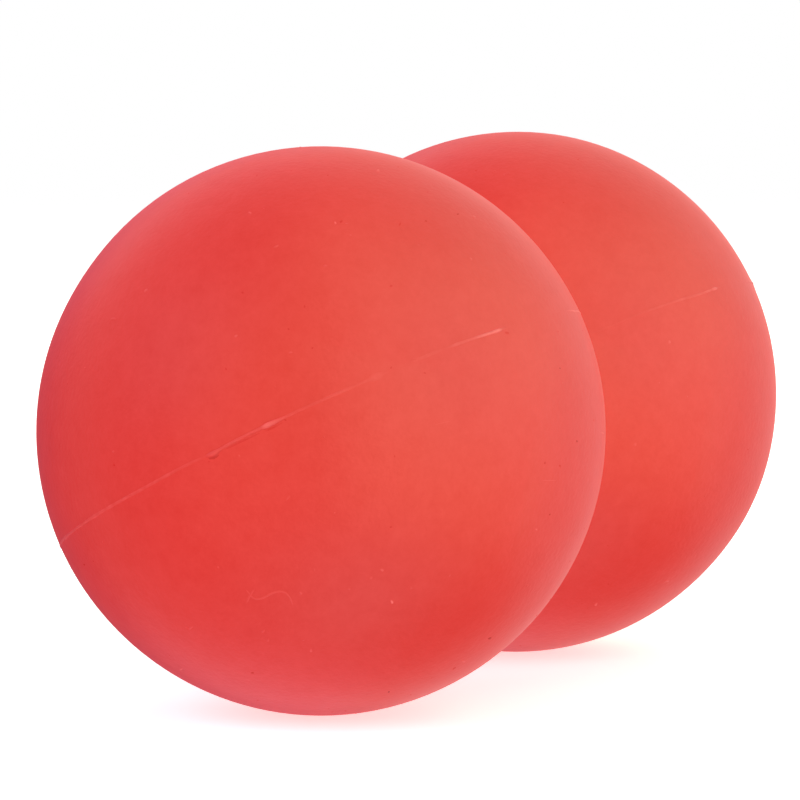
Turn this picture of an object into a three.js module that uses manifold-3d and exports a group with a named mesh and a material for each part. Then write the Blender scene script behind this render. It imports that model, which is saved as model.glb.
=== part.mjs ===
// A peanut massage ball: two ball lobes of soft red rubber joined by a smooth waist.
// The skin is two half skins whose rims are cemented together in a flat plane along the long axis,
// and the cement pressed out of that joint stands along it as a thin bead. Inside, each lobe holds a
// firm rubber ball, and a spool-shaped link plugs into both balls and fills the waist.
// Units are millimetres. The long axis is X, +Z is up, and the origin is the middle of the waist.

import * as THREE from "three";
import { mergeVertices, toCreasedNormals } from "three/addons/utils/BufferGeometryUtils.js";
import Module from "manifold-3d";

const wasm = await Module();
wasm.setup();

// Driving dimensions
const LOBE_DIAMETER = 63; // the two ball lobes just touch, so the body is twice as long
const WAIST_DIAMETER = 32;
const SKIN = 6; // wall of the soft skin
const FIT_GAP = 0.3; // between neighbouring pieces
const BOND_THICKNESS = 0.4; // the cement between the rims of the half skins
const BEAD_WIDTH = 0.9; // the cement pressed out along the seam
const BEAD_PROUD = 0.25;
const SPIGOT_DIAMETER = 12; // the link's ends, which plug into the core balls
const SPIGOT_LENGTH = 11;
const SPIGOT_CHAMFER = 1;
const LINK_RIM_RISE = 2.3; // the link's two rims, above its own waist

// It lies as it came to rest, with the seam's plane turned about the long axis.
const ROLL_DEGREES = -26.1;

// Facets
const OUTER = { turn: 52, lobe: 18, waist: 10 }; // turn is a multiple of four
const INNER = { turn: 32, lobe: 12, waist: 8 };
const FACE_STEPS = 3; // on the part of a ball that faces the link
const BEAD_STEPS = 4; // across the bead's rounded top

// What follows from them
const lobeRadius = LOBE_DIAMETER / 2;
const lobeCentre = lobeRadius; // along X, on either side of the middle
const waistRadius = WAIST_DIAMETER / 2;
// The waist is an arc that touches both lobes and passes the middle at the waist's radius.
const blendRadius = waistRadius ** 2 / (2 * (lobeRadius - waistRadius));
const blendHeight = waistRadius + blendRadius;
const touchAngle = Math.atan2(blendHeight, lobeCentre); // where lobe and waist meet, from the axis
const rimHeight = BOND_THICKNESS / 2 + FIT_GAP; // of each half skin's rim, from the seam's plane
const grooveReach = BEAD_WIDTH / 2 + FIT_GAP * Math.SQRT2; // of the chamfers that seat the bead
const coreRadius = lobeRadius - SKIN - FIT_GAP;
const linkFaceRadius = coreRadius + FIT_GAP;
const linkWaist = waistRadius - SKIN - FIT_GAP;
const linkRim = linkWaist + LINK_RIM_RISE;
const spigotRadius = SPIGOT_DIAMETER / 2;
const spigotTip = lobeCentre - linkFaceRadius + SPIGOT_LENGTH; // along X, from the middle
const FAR = 4 * LOBE_DIAMETER; // well past the body

// Points along an arc, where x lies along the axis and y is the radius. The arc's first point is
// left out unless it is asked for, so that arcs join end to end.
function arc(cx, cy, radius, from, to, steps, withFirst = false) {
  const points = [];
  for (let i = withFirst ? 0 : 1; i <= steps; i++) {
    const angle = from + ((to - from) * i) / steps;
    points.push(new THREE.Vector2(cx + radius * Math.cos(angle), cy + radius * Math.sin(angle)));
  }
  return points;
}

// The body's outline from its -X end to its +X end, moved inwards by inset
function outline(inset, steps) {
  const lobe = lobeRadius - inset;
  const blend = blendRadius + inset;
  const { PI } = Math;
  return onAxis([
    ...arc(-lobeCentre, 0, lobe, PI, touchAngle, steps.lobe, true),
    ...arc(0, blendHeight, blend, PI + touchAngle, 2 * PI - touchAngle, steps.waist),
    ...arc(lobeCentre, 0, lobe, PI - touchAngle, 0, steps.lobe),
  ]);
}

// Puts both ends of a profile exactly on the axis.
function onAxis(profile) {
  profile[0].y = 0;
  profile.at(-1).y = 0;
  return profile;
}

// Turns a profile about the X axis.
function turned(profile, steps) {
  const upright = profile.map((p) => new THREE.Vector2(p.y, p.x));
  return new THREE.LatheGeometry(upright, steps).rotateZ(-Math.PI / 2);
}

// A closed ring that follows the outline all the way round in the seam's plane. Each corner of its
// section is [how far out of the skin, how high above the plane], and they run counterclockwise.
function ringAlongOutline(section) {
  const lines = section.map(([out, height]) => {
    const side = outline(-out, OUTER);
    const otherSide = side.slice(1, -1).reverse();
    return [
      ...side.map((p) => [p.x, p.y, height]),
      ...otherSide.map((p) => [p.x, -p.y, height]),
    ];
  });
  const sides = lines.length;
  const around = lines[0].length;
  const position = [];
  const index = [];
  for (let i = 0; i < around; i++) {
    for (const line of lines) position.push(...line[i]);
    const next = (i + 1) % around;
    for (let k = 0; k < sides; k++) {
      const up = (k + 1) % sides;
      const [a, b, c, d] = [i * sides + k, i * sides + up, next * sides + up, next * sides + k];
      index.push(a, b, c, a, c, d);
    }
  }
  const geometry = new THREE.BufferGeometry();
  geometry.setAttribute("position", new THREE.Float32BufferAttribute(position, 3));
  return geometry.setIndex(index);
}

function solidOf(geometry) {
  const bare = geometry.clone();
  bare.deleteAttribute("normal");
  bare.deleteAttribute("uv");
  const merged = mergeVertices(bare);
  return new wasm.Manifold(
    new wasm.Mesh({
      numProp: 3,
      vertProperties: merged.attributes.position.array,
      triVerts: new Uint32Array(merged.index.array),
    }),
  );
}

function geometryOf(solid) {
  const { vertProperties, triVerts } = solid.getMesh();
  const geometry = new THREE.BufferGeometry();
  geometry.setAttribute("position", new THREE.BufferAttribute(vertProperties, 3));
  geometry.setIndex(new THREE.BufferAttribute(triVerts, 1));
  return geometry;
}

// The whole skin, with a groove round its outside where the two rims are chamfered for the bead
function wholeSkin() {
  const body = solidOf(turned(outline(0, OUTER), OUTER.turn));
  const inside = solidOf(turned(outline(SKIN, INNER), INNER.turn));
  const groove = ringAlongOutline([
    [grooveReach, 0],
    [0, grooveReach],
    [-grooveReach, 0],
    [0, -grooveReach],
  ]);
  return body.subtract(inside).subtract(solidOf(groove));
}

// The half of the skin on one side of the seam: 1 is above it and -1 is below it.
function halfSkin(skin, side) {
  const keep = new THREE.BoxGeometry(FAR, FAR, FAR).translate(0, 0, side * (FAR / 2 + rimHeight));
  return geometryOf(skin.intersect(solidOf(keep)));
}

// The cement: a thin web between the rims, which widens into the bead with its rounded top
function seamBond() {
  const web = BOND_THICKNESS / 2;
  const edge = BEAD_WIDTH / 2;
  const top = [];
  for (let i = 0; i <= BEAD_STEPS; i++) {
    const across = (2 * i) / BEAD_STEPS - 1;
    top.push([BEAD_PROUD * (1 - across ** 2), edge * across]);
  }
  return ringAlongOutline([[-SKIN, -web], [web - edge, -web], ...top, [web - edge, web], [-SKIN, web]]);
}

// A solid ball with a blind socket that opens towards +X, its centre at the origin
function coreBall() {
  const socket = spigotRadius + FIT_GAP;
  const mouth = socket + SPIGOT_CHAMFER;
  const mouthAngle = Math.asin(mouth / coreRadius);
  const mouthX = coreRadius * Math.cos(mouthAngle);
  const bottomX = lobeCentre - spigotTip - FIT_GAP;
  const profile = [
    ...arc(0, 0, coreRadius, Math.PI, touchAngle, INNER.lobe, true),
    ...arc(0, 0, coreRadius, touchAngle, mouthAngle, FACE_STEPS),
    new THREE.Vector2(mouthX - SPIGOT_CHAMFER, socket),
    new THREE.Vector2(bottomX, socket),
    new THREE.Vector2(bottomX, 0),
  ];
  return turned(onAxis(profile), INNER.turn);
}

// The link: at each end a spigot and a hollowed face that fits the ball, with a waist between them
function coreLink() {
  const faceAngle = (radius) => Math.asin(radius / linkFaceRadius);
  const blend = blendRadius + SKIN + FIT_GAP;
  const halfArc = Math.acos((blendHeight - linkRim) / blend);
  const middle = 1.5 * Math.PI;
  const half = [
    new THREE.Vector2(-spigotTip, 0),
    new THREE.Vector2(-spigotTip, spigotRadius - SPIGOT_CHAMFER),
    new THREE.Vector2(-spigotTip + SPIGOT_CHAMFER, spigotRadius),
    ...arc(-lobeCentre, 0, linkFaceRadius, faceAngle(spigotRadius), faceAngle(linkRim), FACE_STEPS, true),
    ...arc(0, blendHeight, blend, middle - halfArc, middle, INNER.waist / 2, true),
  ];
  const mirrored = half.slice(0, -1).reverse();
  return turned([...half, ...mirrored.map((p) => new THREE.Vector2(-p.x, p.y))], INNER.turn);
}

// Materials
const skinRubber = new THREE.MeshStandardMaterial({ color: 0xe0382e, roughness: 0.55, metalness: 0 });
const cement = new THREE.MeshStandardMaterial({ color: 0xec6a5c, roughness: 0.45, metalness: 0 });
const coreRubber = new THREE.MeshStandardMaterial({ color: 0x2b2b2d, roughness: 0.7, metalness: 0 });
const linkRubber = new THREE.MeshStandardMaterial({ color: 0x5a5a5e, roughness: 0.6, metalness: 0 });

const CREASE_ANGLE = 0.6; // radians: a sharper edge stays sharp when it is shaded

const lying = new THREE.Group();
lying.rotation.x = THREE.MathUtils.degToRad(ROLL_DEGREES);

function addPiece(name, geometry, material) {
  geometry.deleteAttribute("uv");
  const mesh = new THREE.Mesh(toCreasedNormals(geometry, CREASE_ANGLE), material);
  mesh.name = name;
  lying.add(mesh);
  return mesh;
}

const skin = wholeSkin();
addPiece("upper_half_skin", halfSkin(skin, 1), skinRubber);
addPiece("lower_half_skin", halfSkin(skin, -1), skinRubber);
addPiece("seam_bond", seamBond(), cement);

const leftBall = addPiece("left_core_ball", coreBall(), coreRubber);
leftBall.position.x = -lobeCentre;
const rightBall = addPiece("right_core_ball", coreBall(), coreRubber);
rightBall.position.x = lobeCentre;
rightBall.rotation.z = Math.PI;
addPiece("core_link", coreLink(), linkRubber);

const massageBall = new THREE.Group();
massageBall.add(lying);

export default massageBall;
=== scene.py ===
# A red peanut massage ball on a pale floor, in metres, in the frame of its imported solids.
# The long axis is X, +Z is up, and the origin is the middle of the waist.
import math

import bmesh
import bpy
import numpy as np
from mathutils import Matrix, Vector, noise


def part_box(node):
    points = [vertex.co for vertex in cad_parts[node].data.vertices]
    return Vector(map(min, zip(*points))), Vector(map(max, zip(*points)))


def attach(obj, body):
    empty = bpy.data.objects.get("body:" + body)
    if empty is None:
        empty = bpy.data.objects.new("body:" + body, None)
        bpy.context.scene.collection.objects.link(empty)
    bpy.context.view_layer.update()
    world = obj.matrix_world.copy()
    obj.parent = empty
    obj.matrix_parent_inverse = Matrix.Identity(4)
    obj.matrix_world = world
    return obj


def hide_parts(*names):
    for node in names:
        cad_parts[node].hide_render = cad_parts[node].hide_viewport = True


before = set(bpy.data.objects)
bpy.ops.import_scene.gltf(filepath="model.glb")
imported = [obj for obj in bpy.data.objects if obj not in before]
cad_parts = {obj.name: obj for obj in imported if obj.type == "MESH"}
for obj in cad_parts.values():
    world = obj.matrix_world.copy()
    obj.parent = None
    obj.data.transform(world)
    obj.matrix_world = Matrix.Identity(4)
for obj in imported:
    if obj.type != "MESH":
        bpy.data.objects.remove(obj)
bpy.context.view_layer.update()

MM = 0.001

# Sizes that repeat the solids', the lobe's from how far the seam's bead reaches along X
SOLID_BEAD_PROUD = 0.25 * MM
SOLID_BEAD_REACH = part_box("seam_bond")[1][0]
LOBE_RADIUS = (SOLID_BEAD_REACH - SOLID_BEAD_PROUD) / 2
LOBE_CENTRE = LOBE_RADIUS  # along X, on either side of the middle
WAIST_RADIUS = 16 * MM
SKIN = 6 * MM
SEAM_ROLL = math.radians(-26.1)
BLEND_RADIUS = WAIST_RADIUS**2 / (2 * (LOBE_RADIUS - WAIST_RADIUS))
BLEND_HEIGHT = WAIST_RADIUS + BLEND_RADIUS
TOUCH_ANGLE = math.atan2(BLEND_HEIGHT, LOBE_CENTRE)  # where lobe and waist meet, from the axis

# The seam's plane holds the X axis. ACROSS lies in it, and ABOVE is square to it.
ALONG = np.array([1.0, 0.0, 0.0])
ACROSS = np.array([0.0, math.cos(SEAM_ROLL), math.sin(SEAM_ROLL)])
ABOVE = np.cross(ALONG, ACROSS)

# The photograph's camera, which aims a little to the side of the origin
IMAGE_SIZE = 800
SENSOR = 36.0  # millimetres, as Blender counts it
FOCAL_PIXELS = 5553.3
CAMERA_AZIMUTH = math.radians(-68.997)
CAMERA_ELEVATION = math.radians(4.409)
CAMERA_DISTANCE = 644.35 * MM
AIM_RIGHT = -2.68 * MM
AIM_UP = 1.22 * MM
CLIP_RANGE = (0.01, 100)


def unit(vector):
    return vector / np.linalg.norm(vector)


def photograph_view():
    """The camera's place and its right, up and forward directions."""
    sin_a, cos_a = math.sin(CAMERA_AZIMUTH), math.cos(CAMERA_AZIMUTH)
    sin_e, cos_e = math.sin(CAMERA_ELEVATION), math.cos(CAMERA_ELEVATION)
    back = np.array([sin_a * cos_e, -cos_a * cos_e, sin_e])
    right = np.array([cos_a, sin_a, 0.0])
    up = np.cross(back, right)
    place = back * CAMERA_DISTANCE
    forward = unit(right * AIM_RIGHT + up * AIM_UP - place)
    right = unit(np.cross(forward, [0.0, 0.0, 1.0]))
    return place, right, np.cross(right, forward), forward


VIEW_PLACE, VIEW_RIGHT, VIEW_UP, VIEW_FORWARD = photograph_view()


def add_object(name, data):
    made = bpy.data.objects.new(name, data)
    bpy.context.scene.collection.objects.link(made)
    return made


def add_camera():
    data = bpy.data.cameras.new("photograph")
    data.sensor_width = SENSOR
    data.lens = FOCAL_PIXELS / IMAGE_SIZE * SENSOR
    data.clip_start, data.clip_end = CLIP_RANGE
    camera = add_object("photograph", data)
    camera.location = VIEW_PLACE
    camera.rotation_euler = Vector(VIEW_FORWARD).to_track_quat("-Z", "Y").to_euler()
    bpy.context.scene.camera = camera


add_camera()

# From the photograph's pixels to the body, and back

NEAR_MISS = 0.5 * MM  # a pixel's ray that passes a lobe as close as this is taken to touch it


def on_lobe(pixel):
    """The point of the body's surface that the photograph shows at a pixel."""
    x, y = pixel
    ray = unit(
        VIEW_FORWARD * FOCAL_PIXELS
        + VIEW_RIGHT * (x - IMAGE_SIZE / 2)
        + VIEW_UP * (IMAGE_SIZE / 2 - y)
    )
    hits = []
    for side in (-1, 1):
        centre = ALONG * side * LOBE_CENTRE
        offset = VIEW_PLACE - centre
        half_b = ray @ offset
        inside = half_b**2 - offset @ offset + LOBE_RADIUS**2
        missed = max(-inside, 0.0)
        if missed < 2 * LOBE_RADIUS * NEAR_MISS:
            distance = -half_b - math.sqrt(max(inside, 0.0))
            hits.append((missed > 0, distance, centre))
    # A hit goes before a near miss, and the front lobe before the rear one.
    _, distance, centre = min(hits, key=lambda hit: hit[:2])
    return centre + unit(VIEW_PLACE + ray * distance - centre) * LOBE_RADIUS


def to_pixel(points):
    """Where the photograph shows points, in pixels."""
    offset = points - VIEW_PLACE
    depth = offset @ VIEW_FORWARD
    x = IMAGE_SIZE / 2 + FOCAL_PIXELS * (offset @ VIEW_RIGHT) / depth
    y = IMAGE_SIZE / 2 - FOCAL_PIXELS * (offset @ VIEW_UP) / depth
    return np.stack([x, y], axis=-1)


# The outline of the body


def arc(cx, cy, radius, angles):
    """Columns: x, distance from the axis, and the direction of the surface there."""
    cos, sin = np.cos(angles), np.sin(angles)
    return np.stack([cx + radius * cos, cy + radius * sin, cos, sin], axis=1)


def outline(inset, lobe_steps, waist_steps, crowding=1.0):
    """The outline from the -X end to the +X end. Rows crowd towards the ends as crowding grows."""
    share = np.linspace(0, 1, lobe_steps + 1) ** crowding
    lobe = math.pi - (math.pi - TOUCH_ANGLE) * share
    blend = np.linspace(math.pi + TOUCH_ANGLE, 2 * math.pi - TOUCH_ANGLE, waist_steps + 1)
    left = arc(-LOBE_CENTRE, 0, LOBE_RADIUS - inset, lobe)
    waist = arc(0, BLEND_HEIGHT, BLEND_RADIUS + inset, blend)
    waist[:, 2:] *= -1
    right = left[::-1] * [-1, 1, -1, 1]
    return np.concatenate([left[:-1], waist[:-1], right])


def surface(rows, turn):
    """Points and directions on the body: rows of an outline, each at its own angles from ACROSS."""
    x, radius, lean, rise = (rows[:, i, None, None] for i in range(4))
    around = np.cos(turn)[..., None] * ACROSS + np.sin(turn)[..., None] * ABOVE
    return x * ALONG + radius * around, lean * ALONG + rise * around


# Small ways in which the real body strays from that outline

# Where it is out of true: a pixel, how far it stands out and how wide that is
OUT_OF_TRUE = (
    ((88, 268), -0.11 * MM, 9 * MM),
    ((150, 207), -0.08 * MM, 0.7 * MM),
    ((75, 562), 0.05 * MM, 9 * MM),
    ((753, 502), 0.14 * MM, 9 * MM),
    ((765, 345), -0.06 * MM, 12 * MM),
    ((753, 284), 0.05 * MM, 0.7 * MM),
    ((579, 140), 0.06 * MM, 9 * MM),
)
# The skin swells a little towards the parting line.
SWELL = 0.012 * MM
SWELL_REACH = 0.7 * MM
# Where the seam strays from its plane: a pixel, how far upwards and over what length
SEAM_STRAYS = (
    ((145, 487), -0.09 * MM, 6 * MM),
    ((213, 452), -0.14 * MM, 2.5 * MM),
    ((213, 453), -0.14 * MM, 0.7 * MM),
    ((268, 425), -0.02 * MM, 3.5 * MM),
    ((437, 351), 0.03 * MM, 3 * MM),
    ((496, 331), -0.11 * MM, 3 * MM),
    ((575, 311), -0.10 * MM, 1.5 * MM),
    ((643, 313), 0.08 * MM, 3 * MM),
    ((700, 294), -0.14 * MM, 3 * MM),
)


def bulge(points, pixel, spread):
    """1 at the place of a pixel, and less the further points are from it."""
    away = np.linalg.norm(points - on_lobe(pixel), axis=-1)
    return np.exp(-((away / spread) ** 2))


def out_of_true(points):
    """How far the skin stands out at each point."""
    total = SWELL * np.exp(-((points @ ABOVE / SWELL_REACH) ** 2))
    for pixel, out, spread in OUT_OF_TRUE:
        total += out * bulge(points, pixel, spread)
    return total


def seam_strays(points):
    """How each point moves with the seam."""
    total = np.zeros(points.shape[:-1])
    for pixel, up, spread in SEAM_STRAYS:
        total += up * bulge(points, pixel, spread)
    return total[..., None] * ABOVE


# Mesh helpers

SMOOTH_ANGLE = math.radians(40)  # a sharper edge stays sharp when it is shaded


def mesh_object(name, points, faces):
    """A mesh from points and faces, in which a face may name a point twice."""
    mesh = bpy.data.meshes.new(name)
    clean = []
    for face in faces:
        kept = [p for i, p in enumerate(face) if p != face[i - 1]]
        if len(kept) > 2:
            clean.append(kept)
    mesh.from_pydata([tuple(p) for p in points], [], clean)
    mesh.update()
    edit = bmesh.new()
    edit.from_mesh(mesh)
    bmesh.ops.recalc_face_normals(edit, faces=edit.faces)
    if edit.calc_volume(signed=True) < 0:
        bmesh.ops.reverse_faces(edit, faces=edit.faces)
    for face in edit.faces:
        face.smooth = True
    for edge in edit.edges:
        edge.smooth = edge.is_manifold and edge.calc_face_angle(0) < SMOOTH_ANGLE
    edit.to_mesh(mesh)
    edit.free()
    return add_object(name, mesh)


def paint_tone(piece, tones):
    """Keeps a tone for each point, which the material turns into a paler or darker colour."""
    attribute = piece.data.attributes.new("tone", "FLOAT", "POINT")
    attribute.data.foreach_set("value", np.asarray(tones, dtype=np.float32))


def grid_faces(index):
    """Quads over a grid of point numbers."""
    corners = (index[:-1, :-1], index[1:, :-1], index[1:, 1:], index[:-1, 1:])
    return np.stack([c.ravel() for c in corners], axis=1).tolist()


def tube_faces(index):
    """Quads over a grid of point numbers whose last column joins the first."""
    return grid_faces(np.concatenate([index, index[:, :1]], axis=1))


def pole_grid(first, rows, columns):
    """Point numbers of a grid whose first and last rows are one point each, and how many there are."""
    inner = np.arange(columns * (rows - 2)).reshape(rows - 2, columns) + first + 1
    start = np.full((1, columns), first)
    end = np.full((1, columns), first + inner.size + 1)
    return np.concatenate([start, inner, end]), inner.size + 2


def pole_points(grid):
    """The points of such a grid, in the order of their numbers."""
    return [grid[0, 0], *grid[1:-1].reshape(-1, 3), grid[-1, 0]]


# The two half skins

LOBE_ROWS = 150
WAIST_ROWS = 30
ROW_CROWDING = 1.25
OUTER_COLUMNS = 129
INNER_COLUMNS = 33
SEAM_CROWDING = 0.9
RIM_HEIGHT = 0.05 * MM  # of each half's flat rim, from the seam's plane


def turn_angles(radius, columns, crowding):
    """Each row's angles over half a turn, from rim to rim and crowded towards both."""
    share = np.linspace(0, 1, columns)
    share = share - crowding * np.sin(2 * math.pi * share) / (2 * math.pi)
    start = np.arcsin(RIM_HEIGHT / np.maximum(radius, RIM_HEIGHT))[:, None]
    return start + (math.pi - 2 * start) * share


def skin_shell(side, inset, columns, crowding):
    """A grid of points over one half of the body, none of them past its rim."""
    rows = outline(inset, LOBE_ROWS, WAIST_ROWS, ROW_CROWDING)
    points, away = surface(rows, side * turn_angles(rows[:, 1], columns, crowding))
    if inset == 0:
        points = points + away * out_of_true(points)[..., None]
    height = points @ ABOVE
    points = points + np.maximum(RIM_HEIGHT - side * height, 0)[..., None] * side * ABOVE
    return points + seam_strays(points)


def half_skin(name, side):
    """One half: its outside, its inside, and the flat rim that joins them. Side 1 is above the seam."""
    outside = skin_shell(side, 0, OUTER_COLUMNS, SEAM_CROWDING)
    inside = skin_shell(side, SKIN, INNER_COLUMNS, 0)
    outer, count = pole_grid(0, *outside.shape[:2])
    inner, _ = pole_grid(count, *inside.shape[:2])
    faces = grid_faces(outer) + grid_faces(inner)
    for column in (0, -1):
        faces += grid_faces(np.stack([outer[:, column], inner[:, column]], axis=1))
    return mesh_object(name, pole_points(outside) + pole_points(inside), faces)


# The bead of cement along the seam

BEAD_STEP = 0.22 * MM
BEAD_SECTION = 8  # spaces across the rounded top
BEAD_FULLNESS = 0.8  # exponent of the rounded top: the smaller, the fuller it is
BEAD_ROOT = 0.06 * MM  # how far its sides reach into the skin
WEB = 0.04 * MM  # half the thickness of the layer between the rims
WEB_TOP = 2 * BEAD_ROOT  # depth at which that layer begins
PALE_FULLNESS = 0.5  # the same exponent for its paleness, which fades towards both sides and is partly a painted highlight on its crown
SHADOW_EDGE = -0.8  # place of the painted shadow along its lower edge, from -1 to 1 across the bead
SHADOW_REACH = 0.3
# Along the seam where the photograph doesn't show it: for the bead's height, its width, how pale it is,
# partly as a painted highlight, and how dark the painted shadow along its lower edge is, the mean, how
# strongly it changes and the least share of the mean
PLAIN_BEAD = ((0.05 * MM, 1, 0.2), (0.34 * MM, 0.3, 0), (0.2, 1.2, 0), (0.2, -1.5, 0))
CHANGE_LENGTH = 5 * MM
# Along the seam as the photograph shows it: x in pixels and the same four, with height and width in mm.
# The first list follows the left lobe.
BEAD_UNITS = (MM, MM, 1, 1)
LEFT_BEAD = (
    (62, 0.05, 0.44, 0.30, 0.0), (66, 0.05, 0.44, 0.16, 0.0), (70, 0.06, 0.36, 0.28, 0.1),
    (74, 0.04, 0.34, 0.12, 0.0), (78, 0.05, 0.34, 0.22, 0.1), (82, 0.03, 0.36, 0.09, 0.0),
    (86, 0.04, 0.40, 0.19, 0.1), (91, 0.03, 0.48, 0.10, 0.0), (95, 0.04, 0.52, 0.19, 0.0),
    (99, 0.03, 0.44, 0.10, 0.0), (103, 0.03, 0.46, 0.15, 0.1), (107, 0.03, 0.40, 0.09, 0.0),
    (110, 0.04, 0.46, 0.18, 0.0), (114, 0.03, 0.44, 0.10, 0.0), (118, 0.04, 0.44, 0.16, 0.0),
    (122, 0.04, 0.40, 0.11, 0.0), (125, 0.06, 0.42, 0.22, 0.1), (129, 0.04, 0.44, 0.11, 0.0),
    (133, 0.04, 0.46, 0.16, 0.0), (137, 0.03, 0.44, 0.10, 0.0), (140, 0.04, 0.46, 0.18, 0.0),
    (144, 0.03, 0.44, 0.09, 0.0), (148, 0.04, 0.44, 0.14, 0.0), (152, 0.03, 0.40, 0.08, 0.0),
    (155, 0.04, 0.42, 0.17, 0.0), (159, 0.03, 0.42, 0.08, 0.0), (163, 0.04, 0.44, 0.13, 0.0),
    (168, 0.05, 0.46, 0.17, 0.0), (171, 0.03, 0.44, 0.07, 0.0), (174, 0.03, 0.44, 0.10, 0.0),
    (180, 0.02, 0.42, 0.06, 0.0), (185, 0.03, 0.46, 0.12, 0.0), (190, 0.02, 0.44, 0.06, 0.0),
    (195, 0.02, 0.44, 0.10, 0.0), (202, 0.01, 0.40, 0.03, 0.0), (205.5, 0.02, 0.40, 0.04, 0.0),
    (207.5, 0.12, 0.60, 0.12, 0.2), (210, 0.15, 0.74, 0.15, 0.3), (213, 0.15, 0.72, 0.15, 0.3),
    (216, 0.13, 0.62, 0.15, 0.2), (219, 0.10, 0.44, 0.15, 0.2), (224, 0.08, 0.42, 0.17, 0.1),
    (230, 0.08, 0.42, 0.18, 0.1), (240, 0.07, 0.38, 0.13, 0.1), (250, 0.07, 0.38, 0.13, 0.1),
    (257, 0.07, 0.40, 0.13, 0.1), (261.5, 0.09, 0.46, 0.15, 0.1), (264, 0.14, 0.58, 0.39, 0.1),
    (268, 0.16, 0.64, 0.46, 0.1), (272, 0.15, 0.60, 0.37, 0.1), (278, 0.13, 0.50, 0.30, 0.1),
    (283, 0.11, 0.40, 0.26, 0.1), (286, 0.04, 0.36, 0.11, 0.1), (291, 0.04, 0.46, 0.15, 0.0),
    (300, 0.03, 0.42, 0.08, 0.0), (315, 0.03, 0.44, 0.07, 0.0), (330, 0.03, 0.46, 0.14, 0.0),
    (345, 0.03, 0.54, 0.10, 0.0), (360, 0.02, 0.44, 0.06, 0.0), (368, 0.02, 0.50, 0.07, 0.0),
    (372, 0.03, 1.00, 0.08, 0.0), (379, 0.03, 1.00, 0.08, 0.0), (383, 0.01, 0.60, 0.05, 0.0),
    (388, 0.00, 0.30, 0.00, 0.0), (408, 0.00, 0.30, 0.00, 0.0), (415, 0.01, 0.40, 0.05, 0.0),
    (424, 0.01, 0.60, 0.07, 0.0), (432, 0.01, 0.70, 0.07, 0.0), (446, 0.00, 0.34, 0.02, 0.0),
    (452, 0.02, 0.40, 0.14, 0.0), (458, 0.03, 0.50, 0.20, 0.0), (464, 0.03, 0.46, 0.15, 0.0),
    (470, 0.04, 0.40, 0.22, 0.0), (476, 0.05, 0.38, 0.35, 0.0), (481, 0.07, 0.40, 0.50, 0.1),
    (487, 0.10, 0.46, 0.86, 0.1), (492, 0.12, 0.48, 0.85, 0.1), (495.5, 0.15, 0.54, 0.92, 0.1),
    (498.5, 0.10, 0.48, 0.60, 0.1), (502, 0.04, 0.34, 0.11, 0.1), (508, 0.00, 0.24, 0.00, 0.0),
    (565, 0.00, 0.24, 0.00, 0.0), (570, 0.03, 0.24, 0.28, 0.0), (573, 0.03, 0.28, 0.54, 0.0),
    (579, 0.03, 0.28, 0.54, 0.0), (583, 0.00, 0.24, 0.00, 0.0), (600, 0.00, 0.24, 0.00, 0.0),
)
RIGHT_BEAD = (
    (560, 0.00, 0.24, 0.00, 0.0), (600, 0.01, 0.32, 0.02, 0.0), (625, 0.01, 0.34, 0.03, 0.0),
    (645, 0.02, 0.36, 0.05, 0.0), (658, 0.02, 0.42, 0.10, 0.0), (672, 0.02, 0.36, 0.08, 0.0),
    (682, 0.03, 0.40, 0.20, 0.0), (686, 0.03, 0.38, 0.12, 0.0), (692, 0.03, 0.38, 0.14, 0.0),
    (698, 0.03, 0.36, 0.24, 0.0), (702, 0.03, 0.34, 0.20, 0.0), (707, 0.04, 0.36, 0.36, 0.0),
    (710.5, 0.04, 0.36, 0.32, 0.0), (713, 0.10, 0.42, 0.56, 0.0), (715.5, 0.10, 0.38, 0.44, 0.0),
    (717, 0.02, 0.28, 0.08, 0.0), (722, 0.00, 0.24, 0.00, 0.0), (745, 0.00, 0.24, 0.00, 0.0),
    (751, 0.05, 0.40, 0.11, 0.0), (756, 0.05, 0.40, 0.11, 0.0),
)
# How much the four vary over short distances, everywhere
RIPPLE = (0.25, 0.12, 0.45, 0.4)
RIPPLE_LENGTH = 0.7 * MM


def noise_along(points, length):
    """A smooth random number from -1 to 1 for each point, which changes over a length."""
    return np.array([noise.noise(Vector(point) / length) for point in points])


def bead_shape(rows, spot, away):
    """Columns along the seam: the bead's height, width, paleness, partly a painted highlight, and the
    darkness of the painted shadow along its lower edge.
    """
    change = noise_along(spot, CHANGE_LENGTH)
    plain = [mean * np.maximum(least, 1 + strength * change) for mean, strength, least in PLAIN_BEAD]
    shape = np.stack(plain, axis=1)
    seen_x = to_pixel(spot)[:, 0]
    # The lists hold where the seam faces the camera.
    facing = np.sum(away * (VIEW_PLACE - spot), axis=1) > 0
    for lobe, keys in ((-1, LEFT_BEAD), (1, RIGHT_BEAD)):
        x, *key_columns = np.array(keys).T
        shown = facing & (rows[:, 0] * lobe > 0) & (seen_x >= x[0]) & (seen_x <= x[-1])
        for column, (values, scale) in enumerate(zip(key_columns, BEAD_UNITS)):
            shape[shown, column] = np.interp(seen_x[shown], x, values) * scale
    ripple = noise_along(spot, RIPPLE_LENGTH)
    return shape * np.maximum(0, 1 + ripple[:, None] * RIPPLE)


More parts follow.
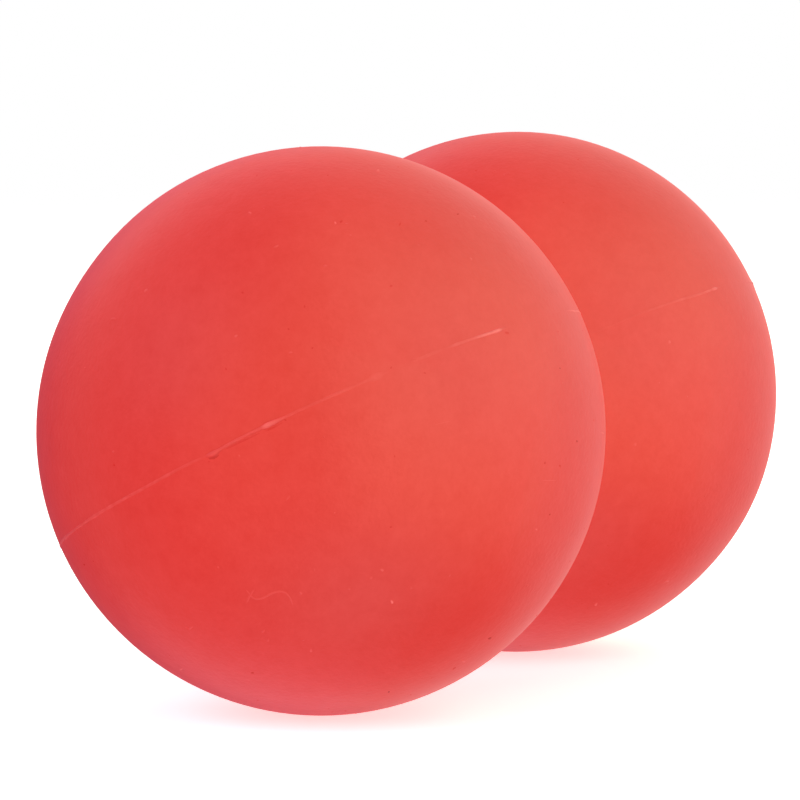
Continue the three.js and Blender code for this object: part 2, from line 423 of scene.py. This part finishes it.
def seam_bond(name):
    """A closed ring round the body: a thin web between the rims, and the bead on its outer edge."""
    lobe_steps = round(LOBE_RADIUS * (math.pi - TOUCH_ANGLE) / BEAD_STEP)
    waist_steps = round(BLEND_RADIUS * (math.pi - 2 * TOUCH_ANGLE) / BEAD_STEP)
    rows = outline(0, lobe_steps, waist_steps)
    across = np.linspace(-1, 1, BEAD_SECTION + 1)
    painted_shadow = np.exp(-(((across - SHADOW_EDGE) / SHADOW_REACH) ** 2))
    one = np.ones((len(rows), 1))
    rings, tones = [], []
    for side in (-1, 1):
        spot = rows[:, :1] * ALONG + rows[:, 1:2] * side * ACROSS
        away = rows[:, 2:3] * ALONG + rows[:, 3:4] * side * ACROSS
        height, width, pale, dark = (column[:, None] for column in bead_shape(rows, spot, away).T)
        spot = spot + away * out_of_true(spot)[:, None] + seam_strays(spot)
        # The top is rounded, and its sides turn down into the skin at its very edges.
        crown = height * (1 - across**2) ** BEAD_FULLNESS - BEAD_ROOT * across**4
        out = np.hstack([-SKIN * one, -WEB_TOP * one, crown, -WEB_TOP * one, -SKIN * one])
        up = np.hstack([-WEB * one, -WEB * one, width / 2 * across, WEB * one, WEB * one])
        # Paler towards the crown, partly a painted highlight, and darker along the lower edge with a
        # painted shadow
        tone = pale * (1 - across**2) ** PALE_FULLNESS - dark * painted_shadow
        tone = np.hstack([0 * one, 0 * one, tone, 0 * one, 0 * one])
        ring = spot[:, None] + out[..., None] * away[:, None] + up[..., None] * ABOVE
        # The second side runs back, without the two ends that the first has.
        rings.append(ring if side < 0 else ring[::-1][1:-1])
        tones.append(tone if side < 0 else tone[::-1][1:-1])
    ring = np.concatenate(rings)
    index = np.arange(ring.shape[0] * ring.shape[1]).reshape(ring.shape[:2])
    made = mesh_object(name, ring.reshape(-1, 3), tube_faces(np.concatenate([index, index[:1]])))
    paint_tone(made, np.concatenate(tones).ravel())
    return made


# The small marks on the skin

MARK_COLUMNS = 10
MARK_RINGS = (0.35, 0.7, 1.0)
MARK_ROOT = 0.008 * MM  # how far a mark's edge lies under the skin
MARK_BOTTOM = 2 * MARK_ROOT
MARK_OVAL = 0.25  # waves on its outline, as shares of its radius: two round it, and then three
MARK_LUMPY = 0.12
MARK_FADE = 0.75  # how much of its tone it loses towards its edge
NIB_THICKNESS = 0.04 * MM
PORE_THICKNESS = 0.015 * MM
# Raised nibs: a pixel, the mark's width and height in pixels, its tilt in degrees and its paleness
NIBS = (
    ((236, 336), 3.8, 3.2, 0, 0.32), ((290.5, 352.5), 3.8, 3.0, 0, 0.18),
    ((146, 290.5), 4.5, 3.6, 50, 0.23), ((250, 213), 3.5, 3.0, 0, 0.28),
    ((335.3, 223), 3.0, 2.8, 0, 0.55), ((378, 171), 4.2, 3.2, 0, 0.26),
    ((276, 246.5), 7.0, 2.0, 18, 0.17), ((325, 266), 4.4, 3.4, 0, 0.13),
    ((113.5, 319), 6.0, 4.0, 0, 0.09), ((382, 570), 3.8, 3.5, 0, 0.32),
    ((392, 602), 3.5, 3.5, 0, 0.81), ((311, 650.5), 3.5, 3.2, 0, 0.30),
    ((263, 631), 4.4, 3.4, 0, 0.11), ((181, 669), 3.2, 3.0, 0, 0.39),
    ((191, 627.5), 5.0, 3.4, 40, 0.12), ((288, 498), 6.5, 3.0, 60, 0.10),
    ((471, 259), 3.0, 3.0, 0, 0.23), ((669.5, 342), 3.8, 3.2, 0, 0.28),
    ((635, 444.5), 4.2, 3.5, 0, 0.15), ((596, 604.3), 4.0, 3.0, 30, 0.49),
    ((666.5, 581), 4.2, 3.2, 0, 0.19), ((536, 529.5), 2.5, 2.5, 0, 0.30),
    ((602.5, 433), 2.8, 2.2, 0, 0.45), ((474, 217), 4.2, 3.0, 30, 0.13),
    ((268, 640), 3.0, 3.0, 0, 0.13), ((371, 578), 3.8, 3.0, 0, 0.13),
    ((411, 588), 3.2, 3.2, 0, 0.13), ((349, 589), 3.2, 3.0, 0, 0.13),
    ((463.5, 661), 3.5, 3.0, 0, 0.23), ((300.7, 593.2), 3.8, 3.0, 0, 0.17),
)
# Pores darkened with painted shade of small pits: the same, and how dark they are
PORES = (
    ((341, 221.5), 3.6, 3.0, 0, 0.16), ((458, 214), 2.6, 2.4, 0, 0.30),
    ((426, 221), 2.6, 2.4, 0, 0.20), ((560, 368.3), 1.9, 1.8, 0, 0.60),
    ((577, 441.3), 2.4, 2.2, 0, 0.50), ((545, 463), 2.3, 2.3, 0, 0.22),
    ((549.8, 514.5), 2.2, 2.0, 0, 0.40), ((391, 527), 2.5, 2.5, 0, 0.18),
    ((252.5, 673), 3.4, 2.8, 0, 0.25), ((84.5, 564.5), 2.6, 2.4, 0, 0.18),
    ((288.5, 329), 2.6, 2.4, 0, 0.18), ((304.5, 306.5), 3.0, 2.6, 0, 0.15),
    ((489.8, 638.4), 4.4, 2.0, 8, 0.60), ((388.8, 692), 1.9, 2.0, 0, 0.90),
    ((454.3, 668.5), 4.0, 1.8, 40, 0.20), ((285.3, 420), 2.6, 2.4, 0, 0.18),
    ((507, 333), 6.0, 3.6, 0, 0.05), ((400, 224), 2.0, 3.4, -30, 0.10),
    ((209, 461.5), 2.6, 2.0, 0, 0.12), ((312.5, 348), 2.4, 2.4, 0, 0.10),
    ((391, 286), 3.0, 3.0, 0, 0.06), ((424.7, 373), 2.6, 2.4, 0, 0.12),
    ((560, 466), 2.4, 3.0, 0, 0.10), ((114, 465), 2.6, 2.4, 0, 0.10),
)
# Scattered faint ones all over the body
SCATTER_SEED = 7
SCATTERED_NIBS = 150
SCATTERED_PORES = 60
SCATTER_SIZE = (0.14 * MM, 0.34 * MM)
SCATTER_TONE = (0.05, 0.18)
STRONG_SHARE = 0.12  # of the scattered marks, on the side away from the photograph
STRONG_TONE = 0.8


class Marks:
    """Flattened domes on the skin, gathered into one mesh with a tone for each point."""

    def __init__(self):
        self.points, self.faces, self.tones = [], [], []

    def add(self, spot, across, along, height, tone, wobble):
        """Spreads a dome from a point of a lobe along two vectors: its top, its rings and its bottom."""
        index, _ = pole_grid(len(self.points), len(MARK_RINGS) + 2, MARK_COLUMNS)
        self.faces += tube_faces(index)
        centre = ALONG * math.copysign(LOBE_CENTRE, spot[0])
        angles = np.arange(MARK_COLUMNS) * 2 * math.pi / MARK_COLUMNS
        oval = MARK_OVAL * np.sin(2 * angles + wobble)
        lumpy = MARK_LUMPY * np.sin(3 * angles + 2 * wobble)
        rings = [(r, height * (1 - r**2) - MARK_ROOT * r**2) for r in MARK_RINGS]
        for r, out in [(0, height), *rings, (0, -MARK_BOTTOM)]:
            turn = angles if r else angles[:1]
            reach = ((1 + oval + lumpy) * r)[: len(turn)]
            flat = spot + (reach * np.cos(turn))[:, None] * across
            flat = flat + (reach * np.sin(turn))[:, None] * along
            away = flat - centre
            away /= np.linalg.norm(away, axis=1)[:, None]
            skin = centre + away * LOBE_RADIUS
            self.points += list(skin + away * (out_of_true(skin) + out)[:, None])
            self.tones += [tone * (1 - MARK_FADE * r**2)] * len(away)

    def add_seen(self, pixel, width, height, tilt, tone, thickness, wobble):
        """A mark as the photograph shows it."""
        x, y = pixel
        spot = on_lobe(pixel)
        cos, sin = math.cos(math.radians(tilt)) / 2, math.sin(math.radians(tilt)) / 2
        across = on_lobe((x + width * cos, y - width * sin)) - spot
        along = on_lobe((x - height * sin, y - height * cos)) - spot
        self.add(spot, across, along, thickness, tone, wobble)

    def scatter(self, count, thickness, sign, random):
        """Faint marks at random over both lobes."""
        while count > 0:
            away = unit(random.normal(size=3))
            side = random.choice((-1, 1))
            # The waist leaves out this part of the lobe.
            if away @ ALONG * side < -math.cos(TOUCH_ANGLE):
                continue
            spot = ALONG * side * LOBE_CENTRE + away * LOBE_RADIUS
            across = unit(np.cross(away, random.normal(size=3)))
            size = random.uniform(*SCATTER_SIZE, size=2) / 2
            tone = sign * random.uniform(*SCATTER_TONE)
            hidden = away @ (VIEW_PLACE - spot) < 0
            if random.random() < STRONG_SHARE and hidden:
                tone = sign * STRONG_TONE
            self.add(spot, across * size[0], np.cross(away, across) * size[1], thickness, tone, count)
            count -= 1

    def finish(self, name):
        made = mesh_object(name, self.points, self.faces)
        paint_tone(made, self.tones)
        return made


def all_marks():
    """The raised nibs, and the pores darkened with painted shade."""
    random = np.random.default_rng(SCATTER_SEED)
    made = []
    for name, seen, count, thickness, sign in (
        ("moulding_nibs", NIBS, SCATTERED_NIBS, NIB_THICKNESS, 1),
        # Pores whose darker tone is painted shade
        ("painted_shade_pores", PORES, SCATTERED_PORES, PORE_THICKNESS, -1),
    ):
        marks = Marks()
        for number, (pixel, width, height, tilt, tone) in enumerate(seen):
            marks.add_seen(pixel, width, height, tilt, sign * tone, thickness, number)
        marks.scatter(count, thickness, sign, random)
        made.append(marks.finish(name))
    return made


# Fine raised lines that cling to the skin, each a list of pixels

LONG_FIBRE = (
    (245.2, 588.8), (248, 592), (250, 594.7), (252, 597.6), (256.5, 599.2), (261.5, 598.7),
    (266.5, 596.2), (271, 593.6), (276, 591.8), (280.6, 591.3), (284.6, 592.3),
    (287.3, 594.5), (289.6, 597.4), (291.1, 600.3), (292, 603), (293, 605.6),
)
SHORT_STRAND = ((254.8, 588.8), (252.4, 591.5), (250, 594.9), (248.6, 598), (247.4, 601), (246.2, 604.1))
# The fibre, the strand across it and light scratches, each with its radius in mm and its paleness
FIBRES = (
    (LONG_FIBRE, 0.12, 0.12),
    (SHORT_STRAND, 0.12, 0.08),
    (((434, 425), (442, 423), (451, 421)), 0.04, 0.08),
    (((541, 480.4), (549, 480.2), (557, 480.6)), 0.05, 0.12),
    (((514, 292), (519, 298), (525, 307)), 0.04, 0.08),
    (((410, 359), (416, 358.4), (424, 355.8), (431, 354.6)), 0.06, 0.08),
)
# Painted shadow along the lower edge of the bead: the same, and how dark it is
BEAD_SHADOW_LINES = (
    (((206.3, 456.6), (209, 458.4), (213, 458.8), (217, 456.6), (220.5, 453.6)), 0.12, 0.24),
    (((224, 450), (232, 446.4), (240, 442.4), (250, 437.7), (256, 434.8), (262, 432)), 0.1, 0.07),
    (((264, 431.5), (268, 430.2), (276, 426.4), (284, 421.7)), 0.1, 0.05),
)
LINE_SIDES = 6
LINE_STEP = 3  # pixels
LINE_FEWEST = 3  # points
LINE_FLATNESS = 0.3  # height over width
LINE_TAPER = 0.35  # exponent: the smaller, the shorter its pointed ends


def raised_lines(name, lines, sign):
    """Thin closed tubes along lines, sunk into the skin to their middle."""
    points, faces, tones = [], [], []
    for pixels, radius, tone in lines:
        x, y = np.array(pixels).T
        run = np.concatenate([[0], np.cumsum(np.hypot(np.diff(x), np.diff(y)))])
        steps = np.linspace(0, run[-1], max(LINE_FEWEST, round(run[-1] / LINE_STEP)))
        spots = np.array([on_lobe(p) for p in zip(np.interp(steps, run, x), np.interp(steps, run, y))])
        along = np.gradient(spots, axis=0)
        centres = ALONG * np.copysign(LOBE_CENTRE, spots[:, :1])
        away = (spots - centres) / LOBE_RADIUS
        side = np.cross(along, away)
        side /= np.linalg.norm(side, axis=1)[:, None]
        thick = radius * MM * np.sin(np.linspace(0, math.pi, len(steps))) ** LINE_TAPER
        thick[[0, -1]] = 0
        turn = np.arange(LINE_SIDES) * 2 * math.pi / LINE_SIDES
        sideways = np.cos(turn)[None, :, None] * side[:, None]
        outwards = LINE_FLATNESS * np.sin(turn)[None, :, None] * away[:, None]
        ring = spots[:, None] + thick[:, None, None] * (sideways + outwards)
        index, count = pole_grid(len(points), len(steps), LINE_SIDES)
        faces += tube_faces(index)
        points += pole_points(ring)
        tones += [sign * tone] * count
    made = mesh_object(name, points, faces)
    paint_tone(made, tones)
    return made


# Materials

# Noise: its scale per metre, its detail and its roughness
SKIN_MOTTLE = (420, 6, 0.81)
SKIN_GRAIN = (1800, 2, 0.5)
SKIN_WEAR = (90, 3, 0.5)
CORE_GRAIN = (700, 4, 0.5)
CORE_WEAR = (150, 3, 0.5)
NOISE_MIDDLE = (0.3, 0.7)  # the part of a noise's range over which a colour changes
SKIN_GRAIN_DEPTH = 0.035 * MM
CORE_GRAIN_DEPTH = 0.05 * MM
SKIN_ROUGHNESS = (0.4, 0.5)
CORE_ROUGHNESS = (0.6, 0.8)
SKIN_SPECULAR = 0.2306
CORE_SPECULAR = 0.4
# The next is for the painted shadow lines along the bead's lower edge
SHADOW_LINE_SPECULAR = 0.13
PORE_SPECULAR = 0.06
# Pairs of colours between which a material is mottled, and the ends of the tones: the pale end, which on
# the bead's crown is partly a painted highlight, and the dark end, which is painted shade and shadow
SKIN_COLOURS = ((0.692, 0.0263, 0.0196), (0.732, 0.0381, 0.0314))
CORE_COLOURS = ((0.02, 0.02, 0.022), (0.032, 0.032, 0.034))
LINK_COLOURS = ((0.08, 0.08, 0.09), (0.12, 0.12, 0.13))
PALE = (0.93, 0.165, 0.15)
PAINTED_SHADE = (0.30, 0.010, 0.008)


def add_node(tree, kind, values=None, **settings):
    """A new node with its own settings and the values of its inputs."""
    node = tree.nodes.new("ShaderNode" + kind)
    for key, value in settings.items():
        setattr(node, key, value)
    for key, value in (values or {}).items():
        node.inputs[key].default_value = value
    return node


def new_material(name, specular):
    """A material, its node tree and its shader."""
    material = bpy.data.materials.new(name)
    material.use_nodes = True
    shader = material.node_tree.nodes["Principled BSDF"]
    shader.inputs["Specular IOR Level"].default_value = specular
    return material, material.node_tree, shader


def noise_factor(tree, scale, detail, roughness):
    place = add_node(tree, "TexCoord")
    texture = add_node(tree, "TexNoise", {"Scale": scale, "Detail": detail, "Roughness": roughness})
    tree.links.new(place.outputs["Object"], texture.inputs["Vector"])
    return texture.outputs["Fac"]


def mottled(tree, factor, colours):
    """A colour that runs from one to the other as a noise's factor does over the middle of its range."""
    ramp = add_node(tree, "ValToRGB")
    for stop, position, colour in zip(ramp.color_ramp.elements, NOISE_MIDDLE, colours):
        stop.position = position
        stop.color = (*colour, 1)
    tree.links.new(factor, ramp.inputs["Fac"])
    return ramp.outputs["Color"]


def add_bump(tree, shader, factor, depth):
    bump = add_node(tree, "Bump", {"Distance": depth, "Strength": 1})
    tree.links.new(factor, bump.inputs["Height"])
    tree.links.new(bump.outputs["Normal"], shader.inputs["Normal"])


def vary_roughness(tree, shader, factor, roughness):
    low, high = roughness
    spread = add_node(tree, "MapRange", {"To Min": low, "To Max": high})
    tree.links.new(factor, spread.inputs["Value"])
    tree.links.new(spread.outputs["Result"], shader.inputs["Roughness"])


def skin_material():
    material, tree, shader = new_material("skin_rubber", SKIN_SPECULAR)
    colour = mottled(tree, noise_factor(tree, *SKIN_MOTTLE), SKIN_COLOURS)
    tree.links.new(colour, shader.inputs["Base Color"])
    vary_roughness(tree, shader, noise_factor(tree, *SKIN_WEAR), SKIN_ROUGHNESS)
    add_bump(tree, shader, noise_factor(tree, *SKIN_GRAIN), SKIN_GRAIN_DEPTH)
    return material


def toned_material(name, specular):
    """The skin's colour where the tone is 0, paler above that and darker below: the darker tones are
    painted shade and shadow, and the bead's paler crown is partly a painted highlight.
    """
    material, tree, shader = new_material(name, specular)
    tone = add_node(tree, "Attribute", attribute_name="tone")
    colour = mottled(tree, noise_factor(tree, *SKIN_MOTTLE), SKIN_COLOURS)
    for sign, end in ((1, PALE), (-1, PAINTED_SHADE)):
        amount = add_node(tree, "MapRange", {"From Max": sign})
        mix = add_node(tree, "Mix", {"B": (*end, 1)}, data_type="RGBA")
        tree.links.new(tone.outputs["Fac"], amount.inputs["Value"])
        tree.links.new(amount.outputs["Result"], mix.inputs["Factor"])
        tree.links.new(colour, mix.inputs["A"])
        colour = mix.outputs["Result"]
    tree.links.new(colour, shader.inputs["Base Color"])
    vary_roughness(tree, shader, noise_factor(tree, *SKIN_WEAR), SKIN_ROUGHNESS)
    return material


def core_material(name, colours):
    material, tree, shader = new_material(name, CORE_SPECULAR)
    grain = noise_factor(tree, *CORE_GRAIN)
    tree.links.new(mottled(tree, grain, colours), shader.inputs["Base Color"])
    vary_roughness(tree, shader, noise_factor(tree, *CORE_WEAR), CORE_ROUGHNESS)
    add_bump(tree, shader, grain, CORE_GRAIN_DEPTH)
    return material


def give(piece, material):
    piece.data.materials.clear()
    piece.data.materials.append(material)


# The visible pieces

skin_rubber = skin_material()
for node, side in (("upper_half_skin", 1), ("lower_half_skin", -1)):
    half = half_skin(node + "_moulded", side)
    give(half, skin_rubber)
    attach(half, "root")
    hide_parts(node)

bond = seam_bond("seam_bond_cement")
give(bond, toned_material("seam_cement", SKIN_SPECULAR))
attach(bond, "root")
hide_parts("seam_bond")

nibs, pores = all_marks()
for marks, specular in (
    (nibs, SKIN_SPECULAR),
    (pores, PORE_SPECULAR),
    (raised_lines("clinging_fibres", FIBRES, 1), SKIN_SPECULAR),
    # Painted shadow lines along the bead's lower edge
    (raised_lines("painted_shadow_lines", BEAD_SHADOW_LINES, -1), SHADOW_LINE_SPECULAR),
):
    give(marks, toned_material(marks.name + "_rubber", specular))
    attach(marks, "root")

core_rubber = core_material("core_rubber", CORE_COLOURS)
link_rubber = core_material("link_rubber", LINK_COLOURS)
for node, material in (
    ("left_core_ball", core_rubber),
    ("right_core_ball", core_rubber),
    ("core_link", link_rubber),
):
    give(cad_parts[node], material)

# The stage: a pale floor that keeps the shadow, a white surround, soft lamps and dark boards

FLOOR_SIZE = 3.2
FLOOR_COLOUR = (0.95, 0.95, 0.95)
FLOOR_GLOW = 0.6
FLOOR_FADE = (0.4, 1.5)  # distances from the object over which the floor fades into the surround
AMBIENT = 0.43  # how strongly the surround lights what is matt
SURROUND_WHITE = 1.0  # how bright it is where it is seen or mirrored
LAMP_DISTANCE = 1.2
LAMP_HALF_ANGLE = 25
BOARD_DISTANCE = 1.6
SQUARE_OF_DISC = math.sqrt(math.pi) / 2  # the side of a square with a disc's area, over its diameter
WHITE = (1, 1, 1)
WARM = (1, 1, 0.61)
YELLOW = (1, 1, 0.25)
COOL = (0.97, 0.79, 1)
ROSE = (1, 0.4, 1)
# Each lamp's azimuth and elevation in degrees, its radiance and its colour. The camera's azimuth is 0,
# and the right of the picture is 90 degrees.
MIRRORED_LAMPS = (
    ("low_left", -30, -15, 1.23, WARM),
    ("low_front", 30, -9, 2.94, WARM),
    ("lowest_right", 75, -15, 1.46, YELLOW),
    ("near_right", 75, 8, 1.39, WHITE),
    ("low_right", 90, -7, 1.16, WHITE),
    ("behind_right", 120, 8, 0.36, WHITE),
    ("high_left", -30, 30, 1.38, YELLOW),
    ("high_front", 30, 32, 3.37, WARM),
    ("high_right", 90, 30, 3.09, WARM),
    ("above", 50, 70, 2.46, WARM),
    ("far_left", -120, 30, 0.29, WHITE),
    ("behind_left", -150, 30, 0.24, ROSE),
    ("behind_below", -150, -60, 0.56, ROSE),
)
FILL_LAMPS = (
    ("fill_below", 50, -60, 1.95, WHITE),
    ("fill_under", 0, -60, 1.46, WHITE),
    ("fill_left", -60, 30, 2.84, COOL),
    ("fill_front", 30, 30, 0.74, WHITE),
    ("fill_behind", 150, 30, 2.38, WARM),
)
KEY_LAMPS = (
    ("key", 60, 30, 0.73, WHITE),
    ("key_behind", 120, 30, 0.19, WARM),
)
# Each dark board's azimuth, elevation, half width and half height in degrees, and its colour
BOARDS = (
    ("left_behind", -151, -10, 30, 28, (0, 0.17, 0.3)),
    ("under_right", 108, -58, 20, 20, (0, 0, 0)),
)


def square_object(name, size):
    """A flat square in its own X and Y, which faces its own -Z."""
    edge = size / 2
    corners = [(-edge, -edge, 0), (-edge, edge, 0), (edge, edge, 0), (edge, -edge, 0)]
    mesh = bpy.data.meshes.new(name)
    mesh.from_pydata(corners, [], [(0, 1, 2, 3)])
    return add_object(name, mesh)


def emptied_tree(owner):
    """The node tree of a new material or world, with no nodes in it."""
    owner.use_nodes = True
    owner.node_tree.nodes.clear()
    return owner.node_tree


def stage_material(name):
    """A new material, its node tree, and the output that is the only node in it."""
    material = bpy.data.materials.new(name)
    tree = emptied_tree(material)
    return material, tree, add_node(tree, "OutputMaterial")


def add_floor():
    """White where it is seen and unshadowed. The surround lights the object from below as well."""
    floor = square_object("floor", FLOOR_SIZE)
    floor.location.z = -LOBE_RADIUS
    floor.visible_diffuse = False
    floor.visible_glossy = False
    floor.visible_shadow = False
    material, tree, output = stage_material("pale_floor")
    diffuse = add_node(tree, "BsdfDiffuse", {"Color": (*FLOOR_COLOUR, 1)})
    glow = add_node(tree, "Emission", {"Strength": FLOOR_GLOW})
    both = add_node(tree, "AddShader")
    tree.links.new(diffuse.outputs["BSDF"], both.inputs[0])
    tree.links.new(glow.outputs["Emission"], both.inputs[1])
    place = add_node(tree, "TexCoord")
    distance = add_node(tree, "VectorMath", operation="LENGTH")
    tree.links.new(place.outputs["Object"], distance.inputs[0])
    near, far = FLOOR_FADE
    fade = add_node(tree, "MapRange", {"From Min": near, "From Max": far}, interpolation_type="SMOOTHSTEP")
    tree.links.new(distance.outputs["Value"], fade.inputs["Value"])
    clear = add_node(tree, "BsdfTransparent")
    mix = add_node(tree, "MixShader")
    tree.links.new(fade.outputs["Result"], mix.inputs["Fac"])
    tree.links.new(both.outputs["Shader"], mix.inputs[1])
    tree.links.new(clear.outputs["BSDF"], mix.inputs[2])
    tree.links.new(mix.outputs["Shader"], output.inputs["Surface"])
    give(floor, material)


def add_surround():
    """White where it is seen or mirrored, and dimmer as a light."""
    world = bpy.data.worlds.new("surround")
    bpy.context.scene.world = world
    tree = emptied_tree(world)
    output = add_node(tree, "OutputWorld")
    light = add_node(tree, "Background", {"Color": (*WHITE, 1), "Strength": AMBIENT})
    seen = add_node(tree, "Background", {"Color": (*WHITE, 1), "Strength": SURROUND_WHITE})
    path = add_node(tree, "LightPath")
    either = add_node(tree, "Math", operation="ADD")
    any_of = add_node(tree, "Math", operation="ADD", use_clamp=True)
    mix = add_node(tree, "MixShader")
    tree.links.new(path.outputs["Is Camera Ray"], either.inputs[0])
    tree.links.new(path.outputs["Is Glossy Ray"], either.inputs[1])
    tree.links.new(either.outputs["Value"], any_of.inputs[0])
    tree.links.new(path.outputs["Is Transmission Ray"], any_of.inputs[1])
    tree.links.new(any_of.outputs["Value"], mix.inputs["Fac"])
    tree.links.new(light.outputs["Background"], mix.inputs[1])
    tree.links.new(seen.outputs["Background"], mix.inputs[2])
    tree.links.new(mix.outputs["Shader"], output.inputs["Surface"])


def aim_at_object(obj, azimuth, elevation, distance):
    """Puts an object in a direction from the origin, and turns its -Z to the origin."""
    a = CAMERA_AZIMUTH + math.radians(azimuth)
    e = math.radians(elevation)
    back = Vector((math.sin(a) * math.cos(e), -math.cos(a) * math.cos(e), math.sin(e)))
    obj.location = back * distance
    obj.rotation_euler = (-back).to_track_quat("-Z", "Y").to_euler()


def add_softbox(name, azimuth, elevation, radiance, colour, lights, mirrored):
    """A square lamp as bright as it shows from the object. It lights what is matt, shows in what is
    glossy, or does both."""
    data = bpy.data.lights.new(name, "AREA")
    data.shape = "SQUARE"
    data.size = 2 * LAMP_DISTANCE * math.tan(math.radians(LAMP_HALF_ANGLE)) * SQUARE_OF_DISC
    data.color = colour
    data.energy = radiance * math.pi * data.size**2
    lamp = add_object(name, data)
    lamp.visible_diffuse = lights
    lamp.visible_glossy = mirrored
    aim_at_object(lamp, azimuth, elevation, LAMP_DISTANCE)


def add_board(name, azimuth, elevation, width, height, colour):
    """A dark board that stands before the surround, out of the camera's sight."""
    board = square_object(name, 2)  # from -1 to 1, so its scale is half its width and height
    board.scale = [BOARD_DISTANCE * math.tan(math.radians(half)) for half in (width, height)] + [1]
    board.visible_camera = False
    board.visible_shadow = False
    aim_at_object(board, azimuth, elevation, BOARD_DISTANCE)
    material, tree, output = stage_material(name)
    glow = add_node(tree, "Emission", {"Color": (*colour, 1)})
    tree.links.new(glow.outputs["Emission"], output.inputs["Surface"])
    give(board, material)


add_floor()
add_surround()
for lamps, lights, mirrored in (
    (MIRRORED_LAMPS, False, True),
    (FILL_LAMPS, True, False),
    (KEY_LAMPS, True, True),
):
    for lamp in lamps:
        add_softbox(*lamp, lights, mirrored)
for board in BOARDS:
    add_board(*board)

view = bpy.context.scene.view_settings
view.view_transform = "Standard"
